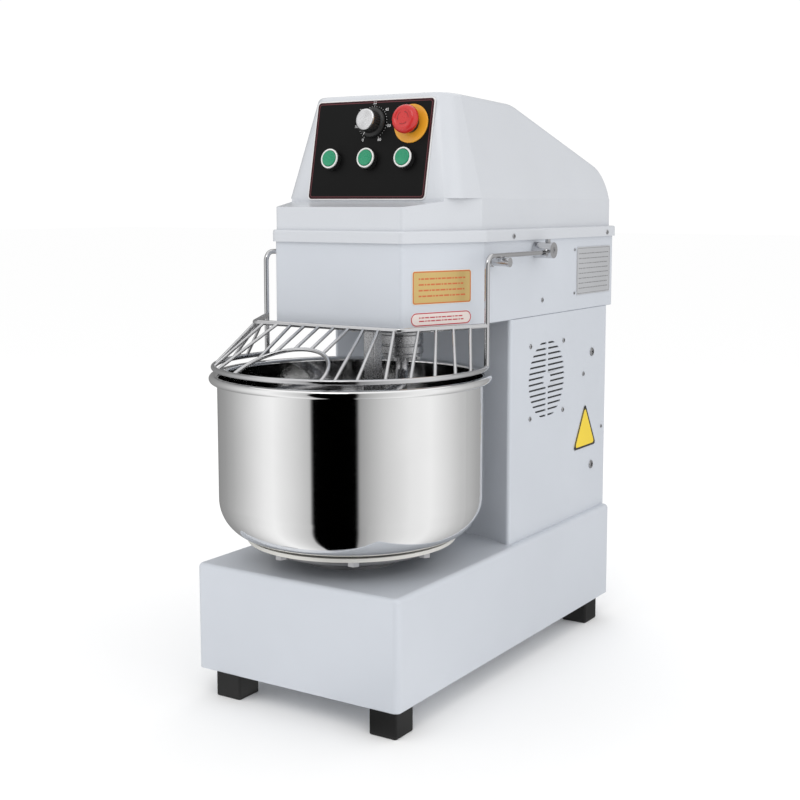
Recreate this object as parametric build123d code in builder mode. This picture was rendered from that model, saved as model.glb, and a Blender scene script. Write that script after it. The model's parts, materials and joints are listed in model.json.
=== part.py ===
"""Spiral dough mixer, about 31 litres: one node for each piece, in millimetres.

The mixer stands on its feet at z = 0. +X is its right side, and its front, where the bowl is, faces -Y. The
origin is on the floor, under the middle of the whole machine. Lengths along the machine are written from the
front face of the base, and at() turns them into y.
"""

from math import asin, cos, degrees, pi, radians, sin, sqrt, tan
import os

from build123d import *

os.makedirs("parts", exist_ok=True)

# ---- driving dimensions ---------------------------------------------------------------------------------

base_front = -342.25  # y of the base's front face
sheet = 2.5           # sheet steel of the covers
running = 0.05        # radial clearance of a shaft in its bearing
gap = 0.3             # clearance between pieces that move past each other

base_width = 370.0
base_length = 717.0
base_bottom = 38.0
base_top = 204.5

foot_side = 47.0
foot_left_x = -125.5
foot_right_x = 159.5
foot_front = 22.5
foot_rear = 648.5

column_half = 173.0
column_front = 347.0
column_recess = 395.0
column_rear = 718.0
column_top = 571.0

panel_z = 400.0       # middle of the rear service panel
vent_y = 479.0
vent_z = 462.5
vent_radius = 66.0

head_half = 172.0
head_nose_half = 116.0
head_front = 117.0
head_corner = 263.0
head_rear = 743.5
head_top = 697.0
flange_top = 715.0
flange_lip = 4.5

cover_half = 167.0
cover_rear = 739.0
cover_crease = 763.0
hood_front = 194.0
hood_front_half = 156.0
hood_tilt = 11.4
hood_lean = 0.25      # how far each side leans in for a unit of height
hood_top = 923.0

bowl_y = 154.0
bowl_radius = 205.0
bowl_wall = 1.5
bowl_corner = 60.0
bowl_bottom = 246.0
rim_z = 491.5
rim_radius = 211.0
rim_bead = 6.5

hook_x = 25.0
hook_y = 260.0
hook_bar = 10.5       # radius of the bar
hook_turn_radius = 69.0

drive_y = 490.0
motor_y = 630.0
bowl_chain_z = 92.0
hook_chain_z = 640.0
belt_z = 505.0

guard_pivot_y = 432.6
guard_pivot_z = 680.0
guard_rod = 4.0
guard_bar = 2.5
arch_x = 6
arch_half_width = 77
arch_height = 81
guard_arm_z = 676.6
guard_ring_radius = 210.0
guard_ring_z = 509.0
guard_rail_y = 92.0
guard_rail_z = 572.5
guard_rail_right = 131.0
guard_rail_left = -139.0
guard_arm_right = 195.0
guard_arm_left = -204.0
peg_y = 283.8
peg_z = 666.0

plate_width = 216.0
plate_height = 154.0
button_pitch = 68.0
button_h = 59.0
knob_h = 118.0
stop_x = 71.0
stop_h = 114.5


def at(length):
    """y of a place that lies this far behind the base's front face."""
    return base_front + length


def ring_y(x):
    """How far behind the base's front face the guard ring is at x, on its rear half."""
    return bowl_y + sqrt(guard_ring_radius**2 - x**2)


def cylinder_up(x, length, bottom, top, radius, bore=0.0, mode=Mode.ADD):
    """An upright cylinder or tube in the part being made."""
    with BuildSketch(Plane.XY.offset(bottom), mode=Mode.PRIVATE) as outline:
        with Locations((x, at(length))):
            Circle(radius)
            if bore:
                Circle(bore, mode=Mode.SUBTRACT)
    extrude(outline.sketch, amount=top - bottom, mode=mode)


def hex_heads(places, bottom, height, across):
    """Hexagonal heads that hang or stand at these places."""
    with BuildSketch(Plane.XY.offset(bottom), mode=Mode.PRIVATE) as outline:
        with Locations(*places):
            RegularPolygon(across / 2, 6, major_radius=False)
    extrude(outline.sketch, amount=height)


# the control plate's plane: its x runs to the right and its y runs up the sloping front of the hood
slope = radians(hood_tilt)
panel_plane = Plane(
    origin=(0, at(hood_front), cover_crease), x_dir=(1, 0, 0), z_dir=(0, -cos(slope), sin(slope))
)
# the head's right front face, from its front corner: x runs along the face and y runs up
chamfer_run = sqrt((head_half - head_nose_half) ** 2 + (head_corner - head_front) ** 2)
chamfer_x = (head_half - head_nose_half) / chamfer_run
chamfer_y = (head_corner - head_front) / chamfer_run
chamfer_plane = Plane(
    origin=(head_nose_half, at(head_front), 0),
    x_dir=(chamfer_x, chamfer_y, 0),
    z_dir=(chamfer_y, -chamfer_x, 0),
)
# a right side of the machine: x runs to the rear and y runs up
column_side = Plane(origin=(column_half, base_front, 0), x_dir=(0, 1, 0), z_dir=(1, 0, 0))
head_side = Plane(origin=(head_half, base_front, 0), x_dir=(0, 1, 0), z_dir=(1, 0, 0))


# ---- base -----------------------------------------------------------------------------------------------

with BuildPart() as base_shell:
    with BuildSketch(Plane.XY.offset(base_bottom)):
        with Locations((0, at(base_length / 2))):
            RectangleRounded(base_width, base_length, 9)
    extrude(amount=base_top - base_bottom)
    fillet(base_shell.faces().sort_by(Axis.Z)[-1].edges(), 7)
    offset(amount=-3, openings=base_shell.faces().sort_by(Axis.Z)[0])
    cylinder_up(0, bowl_y, base_top - 5, base_top + 5, 56, mode=Mode.SUBTRACT)
    cylinder_up(0, drive_y, base_top - 5, base_top + 5, 40, mode=Mode.SUBTRACT)
base_shell.part.label = "base_shell"
export_step(base_shell.part, "parts/base_shell.step")

with BuildPart() as base_plate:
    with BuildSketch(Plane.XY.offset(base_bottom)):
        with Locations((0, at(base_length / 2))):
            RectangleRounded(base_width - 6, base_length - 6, 6)
    extrude(amount=6)
base_plate.part.label = "base_plate"
export_step(base_plate.part, "parts/base_plate.step")

with BuildPart() as feet:
    with BuildSketch():
        with Locations(
            (foot_left_x, at(foot_front)),
            (foot_right_x, at(foot_front)),
            (foot_left_x, at(foot_rear)),
            (foot_right_x, at(foot_rear)),
        ):
            RectangleRounded(foot_side, foot_side, 4)
    extrude(amount=base_bottom)
    chamfer(feet.faces().filter_by(Axis.Z).group_by(Axis.Z)[0].edges(), 1.5)
feet.part.label = "feet"
export_step(feet.part, "parts/feet.step")


# ---- column ---------------------------------------------------------------------------------------------

with BuildPart() as column_shell:
    with BuildSketch(Plane.XY.offset(base_top)) as column_plan:
        with BuildLine():
            ThreePointArc(
                (-column_half, at(column_front)), (0, at(column_recess)), (column_half, at(column_front))
            )
            Polyline(
                (column_half, at(column_front)),
                (column_half, at(column_rear)),
                (-column_half, at(column_rear)),
                (-column_half, at(column_front)),
            )
        make_face()
        fillet(column_plan.vertices(), 5)
    extrude(amount=column_top - base_top)
    with BuildSketch(Plane.XY.offset(base_top)):
        offset(column_plan.sketch, amount=-sheet)
    extrude(amount=column_top - base_top, mode=Mode.SUBTRACT)
    # fourteen cooling slots in the right side, with a spine and a solid middle
    with BuildSketch(column_side):
        with Locations((vent_y, vent_z)):
            Circle(vent_radius)
            with GridLocations(0, 9.4, 1, 15):
                Rectangle(2 * vent_radius, 6.2, mode=Mode.SUBTRACT)
            Rectangle(7, 2 * vent_radius, mode=Mode.SUBTRACT)
            Circle(13, mode=Mode.SUBTRACT)
    extrude(amount=-2 * sheet, mode=Mode.SUBTRACT)
    # the service opening in the rear wall
    with BuildSketch(Plane.XZ.offset(-at(column_rear))):
        with Locations((0, panel_z)):
            Rectangle(270, 280)
    extrude(amount=2 * sheet, mode=Mode.SUBTRACT)
    # the hole for the cable gland
    with BuildSketch(Plane.XZ.offset(-at(column_rear))):
        with Locations((-120, 222)):
            Circle(8)
    extrude(amount=2 * sheet, mode=Mode.SUBTRACT)
column_shell.part.label = "column_shell"
export_step(column_shell.part, "parts/column_shell.step")

with BuildPart() as vent_filter:
    with BuildSketch(column_side.offset(-sheet - 8)):
        with Locations((vent_y, vent_z)):
            RectangleRounded(144, 144, 6)
    extrude(amount=8)
vent_filter.part.label = "vent_filter"
export_step(vent_filter.part, "parts/vent_filter.step")

with BuildPart() as rear_panel:
    with BuildSketch(Plane.XZ.offset(-at(column_rear))):
        with Locations((0, panel_z)):
            RectangleRounded(300, 310, 6)
    extrude(amount=-2)
rear_panel.part.label = "rear_panel"
export_step(rear_panel.part, "parts/rear_panel.step")

with BuildPart() as hazard_plate:
    with BuildSketch(column_side) as triangle:
        with BuildLine():
            Polyline((630, 400), (585.5, 323.5), (674.5, 323.5), close=True)
        make_face()
        fillet(triangle.vertices(), 5)
    extrude(amount=1)
hazard_plate.part.label = "hazard_plate"
export_step(hazard_plate.part, "parts/hazard_plate.step")

with BuildPart() as cable_gland:
    with BuildSketch(Plane.XZ.offset(-at(column_rear - sheet - 6))):
        with Locations((-120, 222)):
            Circle(7.9)
            Circle(4, mode=Mode.SUBTRACT)
    extrude(amount=-(sheet + 6 + 20))
    with BuildSketch(Plane.XZ.offset(-at(column_rear))):
        with Locations((-120, 222)):
            RegularPolygon(11, 6, major_radius=False)
            Circle(4, mode=Mode.SUBTRACT)
    extrude(amount=-7)
cable_gland.part.label = "cable_gland"
export_step(cable_gland.part, "parts/cable_gland.step")


# ---- head -----------------------------------------------------------------------------------------------


def nose_outline(nose_half, front, half, corner, rear):
    """Plan of the head or its cover: a blunt nose, two slanting faces and straight sides."""
    with BuildLine() as outline:
        Polyline(
            (-nose_half, at(front)),
            (nose_half, at(front)),
            (half, at(corner)),
            (half, at(rear)),
            (-half, at(rear)),
            (-half, at(corner)),
            close=True,
        )
    make_face(outline.edges())


with BuildPart() as head_shell:
    with BuildSketch(Plane.XY.offset(column_top)) as head_plan:
        nose_outline(head_nose_half, head_front, head_half, head_corner, head_rear)
        fillet(head_plan.vertices(), 7)
    extrude(amount=head_top - column_top)
    fillet(head_shell.faces().sort_by(Axis.Z)[0].edges(), 2)
    with BuildSketch(Plane.XY.offset(column_top + 4)):
        offset(head_plan.sketch, amount=-sheet)
    extrude(amount=head_top - column_top, mode=Mode.SUBTRACT)
    cylinder_up(hook_x, hook_y, column_top - 5, column_top + 10, 43, mode=Mode.SUBTRACT)
    cylinder_up(0, drive_y, column_top - 5, column_top + 10, 36, mode=Mode.SUBTRACT)
    with BuildSketch(Plane.YZ):
        with Locations((at(guard_pivot_y), guard_pivot_z)):
            Circle(5)
    extrude(amount=head_half + 5, both=True, mode=Mode.SUBTRACT)
head_shell.part.label = "head_shell"
export_step(head_shell.part, "parts/head_shell.step")

def hood_body(inset):
    """The hood above the crease, as a closed block that is smaller all round by inset."""
    rise = hood_top - cover_crease
    with BuildPart() as block:
        with BuildSketch(Plane.YZ) as side_view:
            with BuildLine():
                Polyline(
                    (at(hood_front + inset / cos(slope)), cover_crease),
                    (at(hood_front + inset / cos(slope) + (rise - inset) * tan(slope)), hood_top - inset),
                    (at(430), 915 - inset),
                    (at(cover_rear - inset), 809.6 - 1.4 * inset),
                    (at(cover_rear - inset), cover_crease),
                    close=True,
                )
            make_face()
            fillet(side_view.vertices().sort_by(Axis.Y)[-2], 90)
            fillet(side_view.vertices().group_by(Axis.X)[-1].sort_by(Axis.Y)[-1], 58 - inset)
        extrude(amount=cover_half + 10, both=True)
        with BuildSketch(Plane.XZ):
            half_low = cover_half - inset
            half_high = half_low - hood_lean * rise
            with BuildLine():
                Polyline(
                    (-half_low, cover_crease),
                    (half_low, cover_crease),
                    (half_high, hood_top),
                    (-half_high, hood_top),
                    close=True,
                )
            make_face()
        extrude(amount=2 * base_length, both=True, mode=Mode.INTERSECT)
        # the slanting faces beside the front
        for side in (-1, 1):
            foot = Vector(side * hood_front_half, at(hood_front), cover_crease)
            top_half = hood_front_half - 0.218 * rise
            top = Vector(side * top_half, at(hood_front) + rise * tan(slope), hood_top)
            along = Vector(side * (cover_half - hood_front_half), 265 - hood_front, 0)
            outward = along.cross(top - foot).normalized() * side
            split(bisect_by=Plane(origin=foot - outward * inset, z_dir=outward), keep=Keep.BOTTOM)
        long_edges = block.edges().filter_by(lambda edge: edge.length > 100 and abs((edge % 0.5).Z) > 0.7)
        fillet(long_edges.filter_by(lambda edge: edge.center().Y < at(240)), 34 - inset)
        rim = block.edges().filter_by(lambda edge: edge.center().Z > 780 and abs((edge % 0.5).Z) < 0.9)
        fillet(rim.filter_by(lambda edge: abs((edge % 0.5).X) < 0.95 or edge.center().Y < at(300)), 9 - inset)
    return block.part


with BuildPart() as top_cover:
    # the flange on the head, then the skirt with its ledge rising to the hood
    with BuildSketch(Plane.XY.offset(head_top)):
        offset(head_plan.sketch, amount=flange_lip)
    extrude(amount=flange_top - head_top)
    fillet(top_cover.faces().sort_by(Axis.Z)[-1].edges(), 3)
    with BuildSketch(Plane.XY.offset(head_top)) as skirt_plan:
        nose_outline(head_nose_half, head_front + 2, cover_half, head_corner + 2, cover_rear)
        fillet(skirt_plan.vertices(), 7)
    extrude(amount=cover_crease - head_top)
    with BuildSketch(Plane.YZ):
        with BuildLine():
            Polyline(
                (at(90), 750),
                (at(121), 750),
                (at(hood_front), 758),
                (at(hood_front), 790),
                (at(90), 790),
                close=True,
            )
        make_face()
    extrude(amount=200, both=True, mode=Mode.SUBTRACT)
    add(hood_body(0))
    with BuildSketch(Plane.XY.offset(head_top)):
        offset(skirt_plan.sketch, amount=-sheet)
    extrude(amount=flange_top + 33 - head_top, mode=Mode.SUBTRACT)
    with BuildSketch(Plane.XY.offset(flange_top + 32)):
        offset(skirt_plan.sketch, amount=-sheet)
        with Locations((0, at(hood_front + sheet + base_length / 2))):
            Rectangle(base_width, base_length, mode=Mode.INTERSECT)
    extrude(amount=cover_crease - flange_top - 31.8, mode=Mode.SUBTRACT)
    add(hood_body(sheet), mode=Mode.SUBTRACT)
    # the holes behind the control plate
    with BuildSketch(panel_plane.offset(-12)):
        with Locations((-button_pitch, button_h), (0, button_h), (button_pitch, button_h)):
            Circle(11.2)
        with Locations((0, knob_h), (stop_x, stop_h)):
            Circle(11.2)
    extrude(amount=24, mode=Mode.SUBTRACT)
top_cover.part.label = "top_cover"
export_step(top_cover.part, "parts/top_cover.step")

# ---- control plate --------------------------------------------------------------------------------------

button_places = [(-button_pitch, button_h), (0, button_h), (button_pitch, button_h)]
plate_sheet = 1.5

with BuildPart() as control_plate:
    with BuildSketch(panel_plane):
        with Locations((0, plate_height / 2 - 1)):
            RectangleRounded(plate_width, plate_height, 6)
        with Locations(*button_places, (0, knob_h), (stop_x, stop_h)):
            Circle(11.2, mode=Mode.SUBTRACT)
    extrude(amount=plate_sheet)
control_plate.part.label = "control_plate"
export_step(control_plate.part, "parts/control_plate.step")

with BuildPart() as button_housings:
    with BuildSketch(panel_plane.offset(plate_sheet)):
        with Locations(*button_places):
            Circle(15)
    extrude(amount=9)
    with BuildSketch(panel_plane.offset(plate_sheet)):
        with Locations(*button_places):
            Circle(11)
    extrude(amount=-22)
    with BuildSketch(panel_plane.offset(plate_sheet + 9)):
        with Locations(*button_places):
            Circle(12.6)
    extrude(amount=-7, mode=Mode.SUBTRACT)
    with BuildSketch(panel_plane.offset(plate_sheet + 9)):
        with Locations(*button_places):
            Circle(4 + running)
    extrude(amount=-28, mode=Mode.SUBTRACT)
button_housings.part.label = "button_housings"
export_step(button_housings.part, "parts/button_housings.step")

with BuildPart() as button_rings:
    with BuildSketch(panel_plane.offset(plate_sheet + 9)):
        with Locations(*button_places):
            Circle(15.5)
            Circle(12.9, mode=Mode.SUBTRACT)
    extrude(amount=2.5)
button_rings.part.label = "button_rings"
export_step(button_rings.part, "parts/button_rings.step")

with BuildPart() as switch_blocks:
    with BuildSketch(panel_plane.offset(plate_sheet - 22)):
        with Locations(*button_places):
            Rectangle(30, 44)
            Circle(4.4, mode=Mode.SUBTRACT)
    extrude(amount=-26)
switch_blocks.part.label = "switch_blocks"
export_step(switch_blocks.part, "parts/switch_blocks.step")

for name, place in zip(("left_button", "middle_button", "right_button"), button_places):
    with BuildPart() as button:
        with BuildSketch(panel_plane.offset(plate_sheet + 6.5)):
            with Locations(place):
                Circle(12.25)
        extrude(amount=6.5)
        fillet(button.faces().sort_by(Axis.Y)[0].edges(), 1.5)
        with BuildSketch(panel_plane.offset(plate_sheet + 6.5)):
            with Locations(place):
                Circle(4)
        extrude(amount=-22)
    button.part.label = name
    export_step(button.part, f"parts/{name}.step")

with BuildPart() as timer_body:
    with BuildSketch(panel_plane.offset(-sheet)):
        with Locations((0, knob_h)):
            Rectangle(46, 46)
            Circle(3 + running, mode=Mode.SUBTRACT)
    extrude(amount=-36)
    with BuildSketch(panel_plane.offset(-sheet)):
        with Locations((0, knob_h)):
            Circle(11)
            Circle(3 + running, mode=Mode.SUBTRACT)
    extrude(amount=sheet + plate_sheet)
timer_body.part.label = "timer_body"
export_step(timer_body.part, "parts/timer_body.step")

with BuildPart() as timer_knob:
    with BuildSketch(panel_plane.offset(plate_sheet + gap)):
        with Locations((0, knob_h)):
            Circle(23.5)
    extrude(amount=6)
    fillet(timer_knob.faces().sort_by(Axis.Y)[0].edges(), 1.5)
    with BuildSketch(panel_plane.offset(plate_sheet + 6)):
        with Locations((0, knob_h)):
            Circle(17.5)
    extrude(amount=15.5, taper=2)
    with BuildSketch(panel_plane.offset(plate_sheet + gap)):
        with Locations((0, knob_h)):
            Circle(3)
    extrude(amount=-30)
timer_knob.part.label = "timer_knob"
export_step(timer_knob.part, "parts/timer_knob.step")

with BuildPart() as timer_cap:
    with BuildSketch(panel_plane.offset(plate_sheet + 21.5)):
        with Locations((0, knob_h)):
            Circle(16.5)
    extrude(amount=2)
    chamfer(timer_cap.faces().sort_by(Axis.Y)[0].edges(), 0.7)
timer_cap.part.label = "timer_cap"
export_step(timer_cap.part, "parts/timer_cap.step")

with BuildPart() as stop_disc:
    with BuildSketch(panel_plane.offset(plate_sheet)):
        with Locations((stop_x, stop_h)):
            Circle(30)
            Circle(11.2, mode=Mode.SUBTRACT)
    extrude(amount=2)
    fillet(stop_disc.faces().sort_by(Axis.Y)[0].edges().sort_by(SortBy.LENGTH)[-1], 0.8)
stop_disc.part.label = "stop_disc"
export_step(stop_disc.part, "parts/stop_disc.step")

with BuildPart() as stop_housing:
    with BuildSketch(panel_plane.offset(plate_sheet + 2)):
        with Locations((stop_x, stop_h)):
            Circle(15)
    extrude(amount=6)
    with BuildSketch(panel_plane.offset(plate_sheet + 2)):
        with Locations((stop_x, stop_h)):
            Circle(11)
    extrude(amount=-24)
    with BuildSketch(panel_plane.offset(plate_sheet - 22)):
        with Locations((stop_x, stop_h)):
            Rectangle(30, 44)
    extrude(amount=-26)
    with BuildSketch(panel_plane.offset(plate_sheet + 8)):
        with Locations((stop_x, stop_h)):
            Circle(6 + running)
    extrude(amount=-44, mode=Mode.SUBTRACT)
stop_housing.part.label = "stop_housing"
export_step(stop_housing.part, "parts/stop_housing.step")

with BuildPart() as stop_button:
    with BuildSketch(panel_plane.offset(plate_sheet + 14)):
        with Locations((stop_x, stop_h)):
            Circle(22)
    extrude(amount=12.5)
    fillet(stop_button.faces().sort_by(Axis.Y)[0].edges(), 7)
    fillet(stop_button.faces().sort_by(Axis.Y)[-1].edges().sort_by(SortBy.LENGTH)[-1], 2)
    with BuildSketch(panel_plane.offset(plate_sheet + 14)):
        with Locations((stop_x, stop_h)):
            Circle(6)
    extrude(amount=-34)
stop_button.part.label = "stop_button"
export_step(stop_button.part, "parts/stop_button.step")

with BuildPart() as control_box:
    with BuildSketch(Plane.XY.offset(column_top + 4)):
        with Locations((0, at(662))):
            Rectangle(220, 130)
    extrude(amount=90)
    fillet(control_box.edges().filter_by(Axis.Z), 4)
control_box.part.label = "control_box"
export_step(control_box.part, "parts/control_box.step")

# ---- fasteners of the casing ----------------------------------------------------------------------------

with BuildPart() as casing_screws:
    # on the right side of the column: round the vent, and singly
    vent_corners = [(vent_y + y, vent_z + z) for y in (-61, 61) for z in (-60, 60)]
    for length, height, radius in (
        *[(*place, 4) for place in vent_corners],
        (655, 492, 7.5),
        (658, 287, 7.5),
        (621, 456, 4),
        (700, 351, 3),
    ):
        with BuildSketch(column_side):
            with Locations((length, height)):
                Circle(radius)
        extrude(amount=1.2 + radius / 5)
    # through the cover's flange, two each side
    for side in (-1, 1):
        with BuildSketch(Plane.YZ.offset(side * (head_half + flange_lip))):
            with Locations((at(350), 704), (at(705), 704)):
                Circle(4)
        extrude(amount=side * 2)
    # round the rear panel
    with BuildSketch(Plane.XZ.offset(-at(column_rear + 2))):
        with Locations((0, panel_z)):
            with GridLocations(284, 147, 2, 3):
                Circle(4.5)
    extrude(amount=-2.6)
casing_screws.part.label = "casing_screws"
export_step(casing_screws.part, "parts/casing_screws.step")


# ---- plates on the head ---------------------------------------------------------------------------------

with BuildPart() as head_badge:
    with BuildSketch(chamfer_plane):
        with Locations((75, 631.5)):
            RectangleRounded(110, 49, 4)
    extrude(amount=1)
head_badge.part.label = "head_badge"
export_step(head_badge.part, "parts/head_badge.step")

with BuildPart() as strip_label:
    with BuildSketch(chamfer_plane):
        with Locations((74, 584.5)):
            SlotOverall(114, 20)
    extrude(amount=0.6)
strip_label.part.label = "strip_label"
export_step(strip_label.part, "parts/strip_label.step")

with BuildPart() as rating_plate:
    with BuildSketch(head_side):
        with Locations((658, 638.5)):
            RectangleRounded(138, 83, 3)
    extrude(amount=1)
rating_plate.part.label = "rating_plate"
export_step(rating_plate.part, "parts/rating_plate.step")

with BuildPart() as head_rivets:
    for length, height, radius in ((581, 676, 2.5), (581, 601, 2.5), (460, 596.5, 4)):
        with BuildSketch(head_side):
            with Locations((length, height)):
                Circle(radius)
        extrude(amount=1.6)
head_rivets.part.label = "head_rivets"
export_step(head_rivets.part, "parts/head_rivets.step")


# ---- bowl and its drive ---------------------------------------------------------------------------------

with BuildPart() as bowl:
    with BuildSketch(Plane.XZ.offset(-at(bowl_y))):
        with BuildLine():
            corner_centre = bowl_radius - bowl_corner
            outer_45 = bowl_corner * sin(pi / 4)
            inner_corner = bowl_corner - bowl_wall
            inner_45 = inner_corner * sin(pi / 4)
            corner_z = bowl_bottom + bowl_corner
            Line((0, bowl_bottom), (corner_centre, bowl_bottom))
            ThreePointArc(
                (corner_centre, bowl_bottom),
                (corner_centre + outer_45, corner_z - outer_45),
                (bowl_radius, corner_z),
            )
            Polyline(
                (bowl_radius, corner_z),
                (bowl_radius, rim_z),
                (bowl_radius - bowl_wall, rim_z),
                (bowl_radius - bowl_wall, corner_z),
            )
            ThreePointArc(
                (bowl_radius - bowl_wall, corner_z),
                (corner_centre + inner_45, corner_z - inner_45),
                (corner_centre, bowl_bottom + bowl_wall),
            )
            Polyline((corner_centre, bowl_bottom + bowl_wall), (0, bowl_bottom + bowl_wall), (0, bowl_bottom))
        make_face()
        with Locations((rim_radius, rim_z)):
            Circle(rim_bead)
    revolve(axis=Axis((0, at(bowl_y), 0), (0, 0, 1)))
bowl.part.label = "bowl"
export_step(bowl.part, "parts/bowl.step")

with BuildPart() as bowl_ring:
    cylinder_up(0, bowl_y, 240.5, bowl_bottom, 162.5, 60)
bowl_ring.part.label = "bowl_ring"
export_step(bowl_ring.part, "parts/bowl_ring.step")

with BuildPart() as bowl_bolts:
    bolt_places = [
        (150 * cos(radians(turn)), at(bowl_y) + 150 * sin(radians(turn))) for turn in range(-99, 261, 45)
    ]
    hex_heads(bolt_places, 232.5, 8, 16)
bowl_bolts.part.label = "bowl_bolts"
export_step(bowl_bolts.part, "parts/bowl_bolts.step")

with BuildPart() as bowl_hub:
    cylinder_up(0, bowl_y, 226, 240.5, 132)
    cylinder_up(0, bowl_y, 216, 226, 60)
    fillet(bowl_hub.edges().filter_by(GeomType.CIRCLE).group_by(Axis.Z)[-2], 4)
bowl_hub.part.label = "bowl_hub"
export_step(bowl_hub.part, "parts/bowl_hub.step")

with BuildPart() as bowl_shaft:
    cylinder_up(0, bowl_y, 78, 216, 20)
bowl_shaft.part.label = "bowl_shaft"
export_step(bowl_shaft.part, "parts/bowl_shaft.step")

with BuildPart() as bowl_housing:
    cylinder_up(0, bowl_y, base_top, 211, 74)
    cylinder_up(0, bowl_y, 110, base_top, 52)
    cylinder_up(0, bowl_y, 100, 215, 27, mode=Mode.SUBTRACT)
    cylinder_up(0, bowl_y, 110, 126, 40, mode=Mode.SUBTRACT)
    cylinder_up(0, bowl_y, 193, 211, 40, mode=Mode.SUBTRACT)
    fillet(bowl_housing.faces().sort_by(Axis.Z)[-1].edges().sort_by(SortBy.LENGTH)[-1], 2)
bowl_housing.part.label = "bowl_housing"
export_step(bowl_housing.part, "parts/bowl_housing.step")

def toothed_wheel(x, length, middle, pitch_radius, bore, thickness=6.0, chain_pitch=12.7):
    """A chain wheel with rounded gaps between its teeth, pressed on a shaft of radius bore."""
    teeth = round(2 * pi * pitch_radius / chain_pitch)
    with BuildSketch(Plane.XY.offset(middle - thickness / 2), mode=Mode.PRIVATE) as outline:
        with Locations((x, at(length))):
            Circle(pitch_radius + 3)
            with PolarLocations(pitch_radius, teeth):
                Circle(4.2, mode=Mode.SUBTRACT)
            Circle(bore, mode=Mode.SUBTRACT)
    extrude(outline.sketch, amount=thickness)


def loop_round(x0, y0, radius0, x1, y1, radius1, middle, height, width):
    """A belt or chain as a closed band of this width outside two wheels."""
    reach = sqrt((x1 - x0) ** 2 + (y1 - y0) ** 2)
    turn = degrees(asin((radius0 - radius1) / reach))
    line = Vector(x1 - x0, y1 - y0).normalized()
    with BuildSketch(Plane.XY.offset(middle - height / 2), mode=Mode.PRIVATE) as outline:
        for grow, mode in ((width, Mode.ADD), (0, Mode.SUBTRACT)):
            corners = []
            for side, x, y, radius in ((1, x0, y0, radius0), (1, x1, y1, radius1)):
                normal = line.rotate(Axis.Z, side * (90 - turn))
                corners.append((x + normal.X * (radius + grow), y + normal.Y * (radius + grow)))
            for side, x, y, radius in ((-1, x1, y1, radius1), (-1, x0, y0, radius0)):
                normal = line.rotate(Axis.Z, side * (90 - turn))
                corners.append((x + normal.X * (radius + grow), y + normal.Y * (radius + grow)))
            with BuildSketch(mode=Mode.PRIVATE) as filled:
                with BuildLine() as sides:
                    Polyline(*corners, close=True)
                make_face(sides.edges())
                with Locations((x0, y0)):
                    Circle(radius0 + grow)
                with Locations((x1, y1)):
                    Circle(radius1 + grow)
            add(filled.sketch, mode=mode)
    extrude(outline.sketch, amount=height)


with BuildPart() as bowl_chain_wheel:
    toothed_wheel(0, bowl_y, bowl_chain_z, 104, 20)
bowl_chain_wheel.part.label = "bowl_chain_wheel"
export_step(bowl_chain_wheel.part, "parts/bowl_chain_wheel.step")

with BuildPart() as bowl_chain:
    loop_round(0, at(bowl_y), 107.6, 0, at(drive_y), 29.6, bowl_chain_z, 12, 5)
bowl_chain.part.label = "bowl_chain"
export_step(bowl_chain.part, "parts/bowl_chain.step")


# ---- drive shaft and motor ------------------------------------------------------------------------------

with BuildPart() as drive_shaft:
    cylinder_up(0, drive_y, 48, 654, 12.5)
drive_shaft.part.label = "drive_shaft"
export_step(drive_shaft.part, "parts/drive_shaft.step")

def grooved_pulley(x, length, middle, radius, bore):
    """A pulley with two V grooves."""
    cylinder_up(x, length, middle - 16, middle + 16, radius, bore)
    for groove in (-8, 8):
        with BuildSketch(Plane.XZ.offset(-at(length)), mode=Mode.PRIVATE) as outline:
            with BuildLine() as sides:
                Polyline(
                    (x + radius + 1, middle + groove - 6),
                    (x + radius + 1, middle + groove + 6),
                    (x + radius - 9, middle + groove + 3),
                    (x + radius - 9, middle + groove - 3),
                    close=True,
                )
            make_face(sides.edges())
        revolve(outline.sketch, axis=Axis((x, at(length), 0), (0, 0, 1)), mode=Mode.SUBTRACT)


with BuildPart() as drive_chain_wheels:
    toothed_wheel(0, drive_y, bowl_chain_z, 26, 12.5)
    toothed_wheel(0, drive_y, hook_chain_z, 76, 12.5)
drive_chain_wheels.part.label = "drive_chain_wheels"
export_step(drive_chain_wheels.part, "parts/drive_chain_wheels.step")

with BuildPart() as shaft_bearings:
    for x, length, bottom, outer, shaft in (
        (0, bowl_y, 110, 40, 20),
        (0, bowl_y, 193, 40, 20),
        (hook_x, hook_y, 550, 31, 15),
        (hook_x, hook_y, 609, 31, 15),
        (0, drive_y, base_bottom + 6, 32, 12.5),
        (0, drive_y, column_top + 4, 32, 12.5),
    ):
        cylinder_up(x, length, bottom, bottom + 16, outer, shaft + running)
shaft_bearings.part.label = "shaft_bearings"
export_step(shaft_bearings.part, "parts/shaft_bearings.step")

with BuildPart() as drive_pulley:
    grooved_pulley(0, drive_y, belt_z, 80, 12.5)
drive_pulley.part.label = "drive_pulley"
export_step(drive_pulley.part, "parts/drive_pulley.step")

with BuildPart() as motor_pulley:
    grooved_pulley(0, motor_y, belt_z, 40, 9.5)
motor_pulley.part.label = "motor_pulley"
export_step(motor_pulley.part, "parts/motor_pulley.step")

with BuildPart() as drive_belts:
    for groove in (-8, 8):
        loop_round(0, at(drive_y), 73, 0, at(motor_y), 33, belt_z + groove, 5, 8)
drive_belts.part.label = "drive_belts"
export_step(drive_belts.part, "parts/drive_belts.step")

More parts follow.
